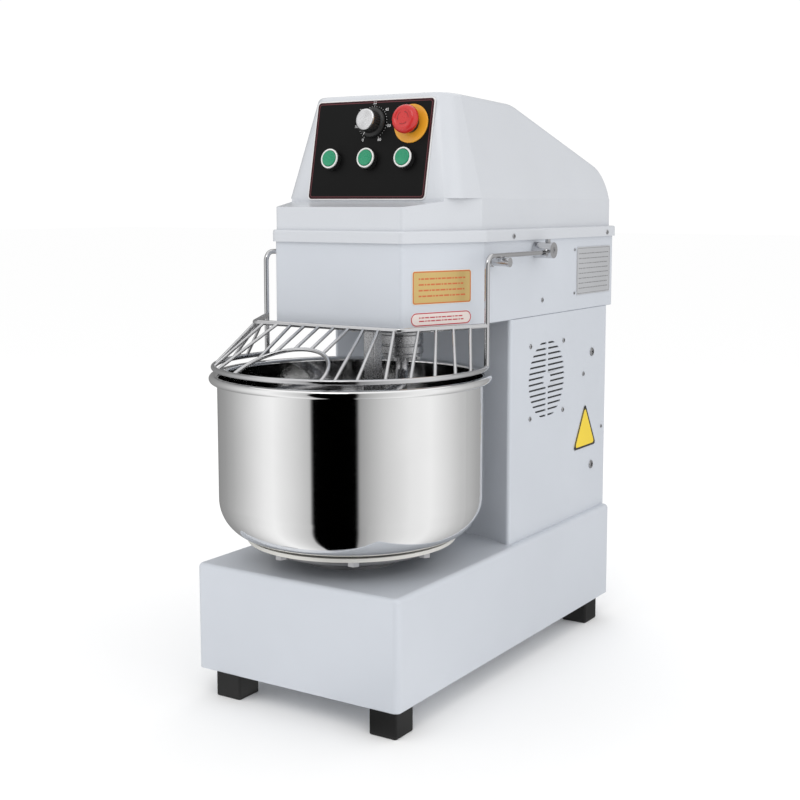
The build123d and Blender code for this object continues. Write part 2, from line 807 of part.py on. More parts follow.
with BuildPart() as motor:
    cylinder_up(0, motor_y, 270, 462, 66)
    fillet(motor.faces().sort_by(Axis.Z)[0].edges(), 8)
    cylinder_up(0, motor_y, 462, 470, 72)
    with BuildSketch(Plane.XY.offset(290)):
        with Locations((0, at(motor_y))):
            with PolarLocations(66, 24):
                Rectangle(9, 3)
    extrude(amount=150)
    cylinder_up(0, motor_y, 440, 475, 9.5 + running, mode=Mode.SUBTRACT)
motor.part.label = "motor"
export_step(motor.part, "parts/motor.step")

with BuildPart() as motor_shaft:
    cylinder_up(0, motor_y, 442, 525, 9.5)
motor_shaft.part.label = "motor_shaft"
export_step(motor_shaft.part, "parts/motor_shaft.step")

with BuildPart() as motor_bracket:
    with BuildSketch(Plane.XY.offset(470)):
        with Locations((0, at(635))):
            Rectangle(2 * (column_half - sheet), 140)
        with Locations((0, at(motor_y))):
            Circle(25, mode=Mode.SUBTRACT)
    extrude(amount=6)
    for side in (-1, 1):
        with BuildSketch(Plane.XY.offset(440)):
            with Locations((side * (column_half - sheet - 2), at(635))):
                Rectangle(4, 140)
        extrude(amount=30)
motor_bracket.part.label = "motor_bracket"
export_step(motor_bracket.part, "parts/motor_bracket.step")


# ---- hook and its drive ---------------------------------------------------------------------------------

with BuildPart() as hook_housing:
    cylinder_up(hook_x, hook_y, 549.5, column_top, 34)
    cylinder_up(hook_x, hook_y, 565, column_top, 50)
    cylinder_up(hook_x, hook_y, column_top, 625, 42)
    cylinder_up(hook_x, hook_y, 540, 630, 18, mode=Mode.SUBTRACT)
    cylinder_up(hook_x, hook_y, 549.5, 566, 31, mode=Mode.SUBTRACT)
    cylinder_up(hook_x, hook_y, 609, 625, 31, mode=Mode.SUBTRACT)
hook_housing.part.label = "hook_housing"
export_step(hook_housing.part, "parts/hook_housing.step")

with BuildPart() as head_bolts:
    bolt_places = [
        (hook_x + 43 * cos(radians(turn)), at(hook_y) + 43 * sin(radians(turn))) for turn in range(0, 360, 60)
    ]
    hex_heads(bolt_places, 560, 5, 9)
    bolt_places = [(33 + x, at(165 + y)) for x in (-25, 25) for y in (-13, 13)]
    hex_heads(bolt_places, 560, 5, 9)
head_bolts.part.label = "head_bolts"
export_step(head_bolts.part, "parts/head_bolts.step")

with BuildPart() as hook_shaft:
    cylinder_up(hook_x, hook_y, 549, 652, 15)
hook_shaft.part.label = "hook_shaft"
export_step(hook_shaft.part, "parts/hook_shaft.step")

with BuildPart() as hook_chain_wheel:
    toothed_wheel(hook_x, hook_y, hook_chain_z, 30.5, 15)
hook_chain_wheel.part.label = "hook_chain_wheel"
export_step(hook_chain_wheel.part, "parts/hook_chain_wheel.step")

with BuildPart() as hook_chain:
    loop_round(hook_x, at(hook_y), 34.1, 0, at(drive_y), 79.6, hook_chain_z, 12, 5)
hook_chain.part.label = "hook_chain"
export_step(hook_chain.part, "parts/hook_chain.step")

with BuildPart() as hook_hub:
    cylinder_up(hook_x, hook_y, 534, 549, 34)
    cylinder_up(hook_x, hook_y, 531.5, 534, 30)
    cylinder_up(hook_x, hook_y, 519.5, 531.5, 34)
    fillet(hook_hub.edges().filter_by(GeomType.CIRCLE).filter_by(lambda edge: edge.radius > 33), 1.2)
hook_hub.part.label = "hook_hub"
export_step(hook_hub.part, "parts/hook_hub.step")

with BuildPart() as hook_hub_bolts:
    bolt_places = [
        (hook_x + 24 * cos(radians(turn)), at(hook_y) + 24 * sin(radians(turn)))
        for turn in range(30, 390, 60)
    ]
    hex_heads(bolt_places, 508.5, 5, 9)
hook_hub_bolts.part.label = "hook_hub_bolts"
export_step(hook_hub_bolts.part, "parts/hook_hub_bolts.step")

with BuildPart() as spiral_hook:
    cylinder_up(hook_x, hook_y, 513.5, 519.5, 32)
    # the bar drops from the flange, swings out and winds down, then turns in under itself
    with BuildLine() as hook_path:
        turns = 1.45
        steps = 21
        points = [(hook_x, at(hook_y), 513.5), (hook_x, at(hook_y), 484)]
        for step in range(steps + 1):
            part_way = step / steps
            angle = radians(-60 - 360 * turns * part_way)
            opening = min(1, 0.55 + 0.45 * part_way * 6)
            closing = min(1, 0.52 + (1 - part_way) * 3.4)
            radius = hook_turn_radius * opening * closing
            height = 466 - (466 - 262) * part_way
            points.append((hook_x + radius * cos(angle), at(hook_y) + radius * sin(angle), height))
        FilletPolyline(*points, radius=22)
    with BuildSketch(Plane.XY.offset(513.5)):
        with Locations((hook_x, at(hook_y))):
            Circle(hook_bar)
    sweep(path=hook_path.wires()[0], transition=Transition.RIGHT)
spiral_hook.part.label = "spiral_hook"
export_step(spiral_hook.part, "parts/spiral_hook.step")

with BuildPart() as breaker_bar:
    with BuildSketch(Plane.XY.offset(256)):
        with Locations((33, at(165))):
            RectangleRounded(20, 22, 2)
    extrude(amount=565 - 256)
    with BuildSketch(Plane.XY.offset(565)):
        with Locations((33, at(165))):
            RectangleRounded(66, 46, 6)
    extrude(amount=column_top - 565)
breaker_bar.part.label = "breaker_bar"
export_step(breaker_bar.part, "parts/breaker_bar.step")

# ---- bowl guard -----------------------------------------------------------------------------------------


def rod(radius, start, direction):
    """Sweep a round bar of this radius along the pending path."""
    with BuildSketch(Plane(origin=start, z_dir=direction), mode=Mode.PRIVATE) as section:
        Circle(radius)
    return section.sketch


def straight_bar(start, end, radius):
    """A straight round bar between two points."""
    way = Vector(*end) - Vector(*start)
    extrude(rod(radius, start, way), amount=way.length)


def mix(start, end, share):
    """The point that lies this share of the way from start to end."""
    return tuple(a + (b - a) * share for a, b in zip(start, end))


def ring_point(turn):
    """A point on the guard ring at this angle about the bowl's axis."""
    x = guard_ring_radius * cos(radians(turn))
    return (x, at(bowl_y) + guard_ring_radius * sin(radians(turn)), guard_ring_z)


ring_right = degrees(asin((ring_y(guard_arm_right) - bowl_y) / guard_ring_radius))
ring_left = 180 - degrees(asin((ring_y(guard_arm_left) - bowl_y) / guard_ring_radius))
arm_right = (guard_arm_right, at(ring_y(guard_arm_right)))
arm_left = (guard_arm_left, at(ring_y(guard_arm_left)))
rail_right = (guard_rail_right, at(guard_rail_y), guard_rail_z)
rail_left = (guard_rail_left, at(guard_rail_y), guard_rail_z)

with BuildPart() as guard_frame:
    # the ring over the bowl's rim
    with BuildLine() as ring_path:
        ThreePointArc(ring_point(ring_right), ring_point(-90), ring_point(ring_left))
    tangent = ring_path.edges()[0] % 0
    sweep(rod(guard_rod, ring_point(ring_right), tangent), path=ring_path.wires()[0])
    # the rail above it
    with BuildLine() as rail_path:
        FilletPolyline(
            (*arm_right, guard_rail_z), rail_right, rail_left, (*arm_left, guard_rail_z), radius=14
        )
    tangent = Vector(*rail_right) - Vector(*arm_right, guard_rail_z)
    sweep(rod(guard_rod, (*arm_right, guard_rail_z), tangent), path=rail_path.wires()[0])
    # the two arms, up from the ring and back to the pivots
    for arm in (arm_right, arm_left):
        with BuildLine() as arm_path:
            FilletPolyline(
                (*arm, guard_ring_z),
                (*arm, guard_arm_z),
                (arm[0], at(guard_pivot_y - 9), guard_arm_z),
                radius=16,
            )
        sweep(rod(guard_rod, (*arm, guard_ring_z), (0, 0, 1)), path=arm_path.wires()[0])
    # the bars, each side of the feed opening
    for x, turn in ((67, -61.5), (93, -53), (120, -42), (-93, -127), (-120, -138)):
        straight_bar((x, at(guard_rail_y), guard_rail_z), ring_point(turn), guard_bar)
    for share, turn in ((0.2, -31.7), (0.4, -20.6), (0.6, -9.5), (0.8, 1)):
        straight_bar(mix(rail_right, (*arm_right, guard_rail_z), share), ring_point(turn), guard_bar)
        straight_bar(mix(rail_left, (*arm_left, guard_rail_z), share), ring_point(-180 - turn), guard_bar)
    # the arch of the feed opening, half an ellipse that stands on the ring and leans back to the rail
    arch_foot_y = at(bowl_y) - sqrt(guard_ring_radius**2 - arch_half_width**2)
    arch_plane = Plane(
        origin=(0, arch_foot_y, guard_ring_z),
        x_dir=(1, 0, 0),
        z_dir=(0, guard_ring_z - guard_rail_z, at(guard_rail_y) - arch_foot_y),
    )
    with BuildLine(arch_plane) as arch_path:
        EllipticalCenterArc((arch_x, 0), arch_half_width, arch_height, arc_size=180)
    arch_wire = arch_path.wires()[0]
    sweep(rod(guard_bar + 0.5, arch_wire @ 0, arch_wire % 0), path=arch_wire)
    for top_x, foot_x in ((-67, -58), (-41, -41), (-14, -14), (14, 14), (41, 41)):
        foot_height = arch_height * sqrt(1 - ((foot_x - arch_x) / arch_half_width) ** 2)
        arch_point = arch_plane.from_local_coords(Vector(foot_x, foot_height, 0))
        straight_bar((top_x, at(guard_rail_y), guard_rail_z), tuple(arch_point), guard_bar)
guard_frame.part.label = "guard_frame"
export_step(guard_frame.part, "parts/guard_frame.step")

pivot_plane = Plane(origin=(0, at(guard_pivot_y), guard_pivot_z), x_dir=(0, 1, 0), z_dir=(1, 0, 0))
right_boss_end = guard_arm_right + 11
left_boss_end = guard_arm_left - 11

with BuildPart() as guard_bosses:
    for start, end, arm_x in (
        (head_half + gap, right_boss_end, guard_arm_right),
        (-head_half - gap, left_boss_end, guard_arm_left),
    ):
        with BuildSketch(pivot_plane.offset(start)):
            Circle(13)
            Circle(5 + running, mode=Mode.SUBTRACT)
        extrude(amount=end - start)
        collar_start = (arm_x, at(guard_pivot_y - 9), guard_arm_z)
        collar_end = (arm_x, at(guard_pivot_y - 20), guard_arm_z)
        straight_bar(collar_start, collar_end, 7)
    for arm in (arm_right, arm_left):
        with BuildSketch(Plane.XZ.offset(-at(guard_pivot_y - 30))):
            with Locations((arm[0], guard_arm_z)):
                Circle(guard_rod)
        extrude(amount=-21, mode=Mode.SUBTRACT)
guard_bosses.part.label = "guard_bosses"
export_step(guard_bosses.part, "parts/guard_bosses.step")

with BuildPart() as guard_set_bolts:
    places = [(guard_arm_right, at(guard_pivot_y)), (guard_arm_left, at(guard_pivot_y))]
    hex_heads(places, guard_pivot_z + 12.6, 5, 8)
guard_set_bolts.part.label = "guard_set_bolts"
export_step(guard_set_bolts.part, "parts/guard_set_bolts.step")

with BuildPart() as guard_pins:
    for start, end in ((head_half - 12, right_boss_end - 1), (-head_half + 12, left_boss_end + 1)):
        with BuildSketch(pivot_plane.offset(start)):
            Circle(5)
        extrude(amount=end - start)
guard_pins.part.label = "guard_pins"
export_step(guard_pins.part, "parts/guard_pins.step")

peg_plane = Plane(origin=(0, at(peg_y), peg_z), x_dir=(0, 1, 0), z_dir=(1, 0, 0))

with BuildPart() as guard_pegs:
    for side, length in (
        (1, guard_arm_right + 11 - head_half),
        (-1, -guard_arm_left + 11 - head_half),
    ):
        for start, stop, radius in ((0, 4, 8), (4, length - 4, 6.25), (length - 4, length, 7.5)):
            with BuildSketch(peg_plane.offset(side * (head_half + start))):
                Circle(radius)
            extrude(amount=side * (stop - start))
guard_pegs.part.label = "guard_pegs"
export_step(guard_pegs.part, "parts/guard_pegs.step")
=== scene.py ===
"""Looks of the spiral dough mixer: camera, studio, materials and the fine pieces on the CAD bodies."""

import json
from math import atan2, cos, pi, radians, sin

import bmesh
import bpy
from mathutils import Matrix, Vector


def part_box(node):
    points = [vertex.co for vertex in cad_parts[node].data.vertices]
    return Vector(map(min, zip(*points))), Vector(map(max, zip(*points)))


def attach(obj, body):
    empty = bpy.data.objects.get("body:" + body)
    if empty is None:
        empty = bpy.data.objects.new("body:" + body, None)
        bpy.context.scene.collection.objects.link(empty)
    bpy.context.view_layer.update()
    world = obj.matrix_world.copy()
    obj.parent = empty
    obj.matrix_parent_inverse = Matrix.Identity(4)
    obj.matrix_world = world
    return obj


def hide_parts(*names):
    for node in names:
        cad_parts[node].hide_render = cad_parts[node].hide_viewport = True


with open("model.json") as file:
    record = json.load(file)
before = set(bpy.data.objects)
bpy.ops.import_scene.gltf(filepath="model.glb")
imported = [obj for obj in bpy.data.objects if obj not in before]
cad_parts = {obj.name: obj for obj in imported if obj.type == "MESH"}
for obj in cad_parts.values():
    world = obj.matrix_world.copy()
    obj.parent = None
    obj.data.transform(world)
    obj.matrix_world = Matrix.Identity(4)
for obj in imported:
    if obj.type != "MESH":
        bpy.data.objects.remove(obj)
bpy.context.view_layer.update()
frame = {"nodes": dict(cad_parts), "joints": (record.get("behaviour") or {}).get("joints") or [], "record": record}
nodes = frame["nodes"]
joints = {joint["name"]: joint for joint in frame["joints"]}
bowl_centre = joints["bowl_spin"]["pos_m"]
hook_centre = joints["hook_spin"]["pos_m"]
MM = 0.001


# ---- camera and studio ----------------------------------------------------------------------------------

CAMERA_PLACE = Vector((1.1662, -1.8463, 0.7555))
CAMERA_AZIMUTH = radians(32.54)
CAMERA_DROP = radians(6.93)
CAMERA_LENS = 59.6
SCREEN_RADIUS = 0.95
SCREEN_HEIGHT = 1.4


def make_camera():
    camera = bpy.data.objects.new("camera", bpy.data.cameras.new("camera"))
    bpy.context.scene.collection.objects.link(camera)
    camera.location = CAMERA_PLACE
    camera.rotation_euler = (pi / 2 - CAMERA_DROP, 0, CAMERA_AZIMUTH)
    camera.data.lens = CAMERA_LENS
    camera.data.shift_x = -0.013
    camera.data.shift_y = -0.0447
    bpy.context.scene.camera = camera


def area_light(name, place, target, size, power, colour=(1, 1, 1)):
    light = bpy.data.lights.new(name, "AREA")
    light.shape = "RECTANGLE"
    light.size, light.size_y = size
    light.energy = power
    light.color = colour
    lamp = bpy.data.objects.new(name, light)
    lamp.location = place
    lamp.rotation_euler = (Vector(target) - Vector(place)).to_track_quat("-Z", "Y").to_euler()
    bpy.context.scene.collection.objects.link(lamp)


def make_screen():
    """A shaded wall round the bowl that only shows in reflections."""
    # bearing from the bowl's axis in degrees, and brightness
    shades = (
        (-180, 0.36), (-165, 0.46), (-150, 0.62), (-125, 0.95), (-117, 1.0), (-100, 0.78), (-86, 0.56),
        (-84, 0.0), (-51, 0.0), (-49, 0.36), (-40, 0.52), (-30, 0.68), (-10, 0.90), (8, 0.97), (40, 0.62),
        (70, 0.42), (94, 0.33), (140, 0.22), (180, 0.36),
    )
    material = bpy.data.materials.new("screen_glow")
    material.use_nodes = True
    tree = material.node_tree
    tree.nodes.remove(tree.nodes["Principled BSDF"])
    glow = tree.nodes.new("ShaderNodeEmission")
    bearing = tree.nodes.new("ShaderNodeTexGradient")
    bearing.gradient_type = "RADIAL"
    place = tree.nodes.new("ShaderNodeTexCoord")
    ramp = tree.nodes.new("ShaderNodeValToRGB")
    stops = ramp.color_ramp.elements
    while len(stops) < len(shades):
        stops.new(0.5)
    for stop, (turn, shade) in zip(stops, shades):
        stop.position = turn / 360 + 0.5
        stop.color = (shade, shade, shade, 1)
    tree.links.new(place.outputs["Object"], bearing.inputs["Vector"])
    tree.links.new(bearing.outputs["Fac"], ramp.inputs["Fac"])
    tree.links.new(ramp.outputs["Color"], glow.inputs["Color"])
    tree.links.new(glow.outputs["Emission"], tree.nodes["Material Output"].inputs["Surface"])
    shape = bmesh.new()
    bmesh.ops.create_cone(
        shape, segments=128, radius1=SCREEN_RADIUS, radius2=SCREEN_RADIUS, depth=SCREEN_HEIGHT
    )
    foot = sorted((v for v in shape.verts if v.co.z < 0), key=lambda v: atan2(v.co.y, v.co.x))
    shape.faces.new(foot)
    mesh = bpy.data.meshes.new("reflection_screen")
    shape.to_mesh(mesh)
    shape.free()
    mesh.materials.append(material)
    screen = bpy.data.objects.new("reflection_screen", mesh)
    bpy.context.scene.collection.objects.link(screen)
    screen.location = (bowl_centre[0], bowl_centre[1], SCREEN_HEIGHT / 2 + 0.005)
    screen.visible_camera = False
    screen.visible_diffuse = False
    screen.visible_shadow = False
    screen.visible_transmission = False


def make_studio():
    bpy.context.scene.view_settings.view_transform = "Standard"
    world = bpy.data.worlds.new("studio")
    bpy.context.scene.world = world
    world.use_nodes = True
    background = world.node_tree.nodes["Background"]
    background.inputs["Color"].default_value = (1.0, 1.0, 1.0, 1)
    background.inputs["Strength"].default_value = 1.03
    middle = (0, 0, 0.5)
    area_light("key_light", (0.6, -2.8, 3.2), middle, (1.6, 1.6), 16)
    area_light("fill_light", (2.8, -0.4, 1.6), middle, (1.8, 1.8), 6)
    area_light("back_light", (-1.2, 2.6, 2.2), middle, (1.6, 1.2), 8)
    bpy.ops.mesh.primitive_plane_add(size=60)
    floor = bpy.context.object
    floor.name = "studio_floor"
    paper = surface("floor_paper", (0.96, 0.96, 0.96), 0.8, grain=40, bump=0.0, shade=0.0)
    floor.data.materials.append(paper)
    set_specular(paper, 0)
    make_screen()



# ---- materials ------------------------------------------------------------------------------------------


def start_material(name, roughness, metallic, coat, sheen_clear=0.3):
    material = bpy.data.materials.new(name)
    material.use_nodes = True
    tree = material.node_tree
    shader = tree.nodes["Principled BSDF"]
    shader.inputs["Metallic"].default_value = metallic
    shader.inputs["Roughness"].default_value = roughness
    shader.inputs["Coat Weight"].default_value = coat
    shader.inputs["Coat Roughness"].default_value = 0.15
    return material, tree, shader


def set_specular(material, level):
    shader = material.node_tree.nodes["Principled BSDF"]
    shader.inputs["Specular IOR Level"].default_value = level


def noise_at(tree, vector, scale, detail=3.0, roughness=0.55):
    noise = tree.nodes.new("ShaderNodeTexNoise")
    noise.inputs["Scale"].default_value = scale
    noise.inputs["Detail"].default_value = detail
    noise.inputs["Roughness"].default_value = roughness
    tree.links.new(vector, noise.inputs["Vector"])
    return noise.outputs["Fac"]


def spread(tree, value, low, high):
    """value, which drifts about a half, mapped to run from low to high."""
    change = tree.nodes.new("ShaderNodeMapRange")
    change.inputs["From Min"].default_value = 0.3
    change.inputs["From Max"].default_value = 0.7
    change.inputs["To Min"].default_value = low
    change.inputs["To Max"].default_value = high
    tree.links.new(value, change.inputs["Value"])
    return change.outputs["Result"]


def finish_surface(tree, shader, colour, drift, grain, shade, roughness, rough_range, bump):
    """Joins the drift to the colour and the grain to the roughness and the bump."""
    ramp = tree.nodes.new("ShaderNodeValToRGB")
    ramp.color_ramp.elements[0].position = 0.3
    ramp.color_ramp.elements[1].position = 0.7
    ramp.color_ramp.elements[0].color = (*[c * (1 - shade) for c in colour], 1)
    ramp.color_ramp.elements[1].color = (*[min(1, c * (1 + shade)) for c in colour], 1)
    tree.links.new(drift, ramp.inputs["Fac"])
    tree.links.new(ramp.outputs["Color"], shader.inputs["Base Color"])
    result = spread(tree, grain, max(0.02, roughness - rough_range), roughness + rough_range)
    tree.links.new(result, shader.inputs["Roughness"])
    relief = tree.nodes.new("ShaderNodeBump")
    relief.inputs["Strength"].default_value = 1.0
    relief.inputs["Distance"].default_value = bump * MM
    tree.links.new(grain, relief.inputs["Height"])
    tree.links.new(relief.outputs["Normal"], shader.inputs["Normal"])


def surface(name, colour, roughness, metallic=0.0, coat=0.0, grain=600.0, bump=0.02, shade=0.04,
            rough_range=0.05, stretch=(1, 1, 1)):
    """A material whose colour drifts slowly and whose grain is fine; stretch draws the grain out."""
    material, tree, shader = start_material(name, roughness, metallic, coat)
    place = tree.nodes.new("ShaderNodeTexCoord").outputs["Object"]
    mapping = tree.nodes.new("ShaderNodeMapping")
    mapping.inputs["Scale"].default_value = stretch
    tree.links.new(place, mapping.inputs["Vector"])
    drift = noise_at(tree, place, 5.0)
    fine = noise_at(tree, mapping.outputs["Vector"], grain)
    finish_surface(tree, shader, colour, drift, fine, shade, roughness, rough_range, bump)
    return material


def turned_metal(name, colour, roughness, centre, bump=0.01, rings=900.0, shade=0.03, rough_range=0.06):
    """Metal finished on a lathe: fine rings about an upright axis through centre."""
    material, tree, shader = start_material(name, roughness, 1.0, 0.0)
    place = tree.nodes.new("ShaderNodeTexCoord").outputs["Object"]
    shift = tree.nodes.new("ShaderNodeVectorMath")
    shift.operation = "SUBTRACT"
    shift.inputs[1].default_value = (centre[0], centre[1], 0)
    tree.links.new(place, shift.inputs[0])
    parts = tree.nodes.new("ShaderNodeSeparateXYZ")
    tree.links.new(shift.outputs["Vector"], parts.inputs["Vector"])
    turn = tree.nodes.new("ShaderNodeMath")
    turn.operation = "ARCTAN2"
    tree.links.new(parts.outputs["Y"], turn.inputs[0])
    tree.links.new(parts.outputs["X"], turn.inputs[1])
    small_turn = tree.nodes.new("ShaderNodeMath")
    small_turn.operation = "MULTIPLY"
    small_turn.inputs[1].default_value = 0.004
    tree.links.new(turn.outputs["Value"], small_turn.inputs[0])
    flat = tree.nodes.new("ShaderNodeVectorMath")
    flat.operation = "MULTIPLY"
    flat.inputs[1].default_value = (1, 1, 0)
    tree.links.new(shift.outputs["Vector"], flat.inputs[0])
    away = tree.nodes.new("ShaderNodeVectorMath")
    away.operation = "LENGTH"
    tree.links.new(flat.outputs["Vector"], away.inputs[0])
    ring_place = tree.nodes.new("ShaderNodeCombineXYZ")
    tree.links.new(small_turn.outputs["Value"], ring_place.inputs["X"])
    tree.links.new(away.outputs["Value"], ring_place.inputs["Y"])
    tree.links.new(parts.outputs["Z"], ring_place.inputs["Z"])
    fine = noise_at(tree, ring_place.outputs["Vector"], rings, 4.0, 0.6)
    drift = noise_at(tree, place, 6.0)
    finish_surface(tree, shader, colour, drift, fine, shade, roughness, rough_range, bump)
    return material


# ---- mesh helpers ---------------------------------------------------------------------------------------


def add_piece(name, mesh, body, material, smooth=True):
    """A mesh as a piece of the object, on its body, in its material."""
    piece = bpy.data.objects.new(name, mesh)
    bpy.context.scene.collection.objects.link(piece)
    mesh.materials.clear()
    mesh.materials.append(material)
    mesh.polygons.foreach_set("use_smooth", [smooth] * len(mesh.polygons))
    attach(piece, body)
    return piece


def soften(piece, degrees_limit=35):
    """Shades a piece smooth, with its sharp edges kept."""
    mesh = piece.data
    mesh.polygons.foreach_set("use_smooth", [True] * len(mesh.polygons))
    mesh.set_sharp_from_angle(angle=radians(degrees_limit))


def lathe(profile, placing, steps=64):
    """A mesh turned from (radius, height) points about the placing matrix's z axis."""
    shape = bmesh.new()
    rings = []
    for radius, height in profile:
        if radius < 1e-7:
            rings.append([shape.verts.new((0, 0, height))])
            continue
        turn = [2 * pi * step / steps for step in range(steps)]
        rings.append([shape.verts.new((radius * cos(a), radius * sin(a), height)) for a in turn])
    for low, high in zip(rings, rings[1:]):
        for step in range(steps):
            after = (step + 1) % steps
            corners = [low[step % len(low)], low[after % len(low)]]
            corners += [high[after % len(high)], high[step % len(high)]]
            unique = list(dict.fromkeys(corners))
            if len(unique) > 2:
                shape.faces.new(unique)
    bmesh.ops.recalc_face_normals(shape, faces=shape.faces)
    shape.transform(placing)
    mesh = bpy.data.meshes.new("lathe")
    shape.to_mesh(mesh)
    shape.free()
    return mesh


def rounded_outline(width, height, radius, steps=8):
    """The points of a rectangle with round corners, about its middle."""
    points = []
    for quarter, (sx, sy) in enumerate(((1, 1), (-1, 1), (-1, -1), (1, -1))):
        for step in range(steps + 1):
            angle = pi / 2 * (quarter + step / steps)
            x = sx * (width / 2 - radius) + radius * cos(angle)
            y = sy * (height / 2 - radius) + radius * sin(angle)
            points.append((x, y))
    return points


def slab(outline, thickness, placing, hole=None):
    """A flat piece of this outline, or the band between the outline and a hole with as many points."""
    shape = bmesh.new()
    levels = []
    for height in (0.0, thickness):
        outer = [shape.verts.new((x, y, height)) for x, y in outline]
        inner = [shape.verts.new((x, y, height)) for x, y in hole] if hole else None
        levels.append((outer, inner))
    count = len(outline)
    for outer, inner in levels:
        if inner:
            for step in range(count):
                after = (step + 1) % count
                shape.faces.new((outer[step], outer[after], inner[after], inner[step]))
        else:
            shape.faces.new(outer)
    for loop in range(2 if hole else 1):
        low, high = levels[0][loop], levels[1][loop]
        for step in range(count):
            after = (step + 1) % count
            shape.faces.new((low[step], low[after], high[after], high[step]))
    bmesh.ops.recalc_face_normals(shape, faces=shape.faces)
    shape.transform(placing)
    mesh = bpy.data.meshes.new("slab")
    shape.to_mesh(mesh)
    shape.free()
    return mesh


def facing(origin, normal, across):
    """A matrix whose z axis is normal and whose x axis is across, at origin."""
    z = Vector(normal).normalized()
    x = Vector(across).normalized()
    y = z.cross(x)
    return Matrix.Translation(origin) @ Matrix((x, y, z)).transposed().to_4x4()


def centre_of(node):
    low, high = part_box(node)
    return (low + high) / 2


def joined(meshes):
    """Several meshes as one."""
    shape = bmesh.new()
    for mesh in meshes:
        shape.from_mesh(mesh)
    whole = bpy.data.meshes.new("joined")
    shape.to_mesh(whole)
    shape.free()
    return whole


make_camera()
make_studio()

finishes = {
    "casing_paint": surface(
        "casing_paint", (0.575, 0.605, 0.655), 0.36, coat=0.25, grain=900, bump=0.02, shade=0.02
    ),
    "cover_paint": surface(
        "cover_paint", (0.595, 0.615, 0.65), 0.34, coat=0.3, grain=900, bump=0.02, shade=0.02
    ),
    "foot_rubber": surface("foot_rubber", (0.006, 0.006, 0.006), 0.7, grain=700, bump=0.08, shade=0.2),
    "bowl_steel": turned_metal(
        "bowl_steel", (0.86, 0.86, 0.86), 0.06, bowl_centre, bump=0.002, rough_range=0.02
    ),
    "rod_chrome": surface("rod_chrome", (0.60, 0.60, 0.61), 0.14, metallic=1, grain=300, bump=0.005),
    "hook_steel": surface("hook_steel", (0.5, 0.5, 0.51), 0.26, metallic=1, grain=350, bump=0.03, shade=0.08),
    "machined_steel": turned_metal("machined_steel", (0.45, 0.45, 0.46), 0.3, hook_centre),
    "bolt_steel": surface(
        "bolt_steel", (0.42, 0.42, 0.43), 0.32, metallic=1, grain=800, bump=0.02, shade=0.1
    ),
    "ring_alloy": surface(
        "ring_alloy", (0.72, 0.71, 0.67), 0.45, metallic=0.3, grain=500, bump=0.05, shade=0.06
    ),
    "plate_black": surface("plate_black", (0.004, 0.004, 0.004), 0.45, grain=1200, bump=0.008, shade=0.2),
    "black_plastic": surface("black_plastic", (0.015, 0.015, 0.015), 0.42, grain=1500, bump=0.03, shade=0.2),
    "white_plastic": surface("white_plastic", (0.78, 0.78, 0.76), 0.3, coat=0.3, grain=500, bump=0.01),
    "green_plastic": surface(
        "green_plastic", (0.008, 0.27, 0.13), 0.28, coat=0.2, grain=500, bump=0.01, shade=0.1
    ),
    "red_plastic": surface(
        "red_plastic", (0.55, 0.012, 0.012), 0.3, coat=0.4, grain=500, bump=0.01, shade=0.08
    ),
    "yellow_plastic": surface(
        "yellow_plastic", (0.78, 0.36, 0.02), 0.35, coat=0.2, grain=700, bump=0.02, shade=0.06
    ),
    "spun_aluminium": surface("spun_aluminium", (0.7, 0.7, 0.71), 0.3, metallic=1, grain=500, bump=0.02),
    "badge_gold": surface(
        "badge_gold", (0.62, 0.45, 0.18), 0.34, metallic=0.7, grain=900, bump=0.02, shade=0.08
    ),
    "label_film": surface("label_film", (0.80, 0.71, 0.67), 0.35, coat=0.2, grain=900, bump=0.01),
    "rating_alloy": surface(
        "rating_alloy", (0.66, 0.67, 0.69), 0.4, metallic=0.6, grain=300, stretch=(1, 0.03, 1)
    ),
    "hazard_film": surface("hazard_film", (0.85, 0.62, 0.02), 0.35, coat=0.2, grain=900, bump=0.01),
    "belt_rubber": surface("belt_rubber", (0.02, 0.02, 0.02), 0.7, grain=700, bump=0.1, shade=0.2),
    "chain_steel": surface("chain_steel", (0.2, 0.2, 0.2), 0.4, metallic=1, grain=400, bump=0.2, shade=0.2),
    "motor_paint": surface("motor_paint", (0.12, 0.17, 0.25), 0.5, grain=500, bump=0.05, shade=0.08),
    "cast_grey": surface("cast_grey", (0.24, 0.24, 0.25), 0.5, metallic=0.6, grain=350, bump=0.04, shade=0.1),
}
set_specular(finishes["plate_black"], 0.15)
slot_of = {row["node"]: row["material_slot"] for row in frame["record"]["subparts"]}
for name, node in nodes.items():
    node.data.materials.clear()
    node.data.materials.append(finishes[slot_of[name]])
    soften(node)


# ---- inks -----------------------------------------------------------------------------------------------

maroon = surface("maroon_ink", (0.10, 0.012, 0.018), 0.35, grain=900, bump=0.005, shade=0.1)
white_ink = surface("white_ink", (0.72, 0.72, 0.72), 0.45, grain=900, bump=0.005)
orange_ink = surface("orange_ink", (0.55, 0.13, 0.03), 0.4, grain=900, bump=0.005, shade=0.08)
red_ink = surface("red_ink", (0.50, 0.03, 0.05), 0.4, grain=900, bump=0.005, shade=0.08)
grey_ink = surface("grey_ink", (0.22, 0.22, 0.23), 0.5, grain=900, bump=0.005, shade=0.1)
black_ink = surface("black_ink", (0.02, 0.02, 0.02), 0.45, grain=900, bump=0.005, shade=0.2)
# near-black sheet that paints the shade inside the crossed recesses of screws and rivets: painted shade, not a
# colour of the steel
recess_shade_sheet = surface("recess_painted_shade", (0.01, 0.01, 0.01), 0.7, grain=900, bump=0.01, shade=0.2)
INK = 0.12 * MM


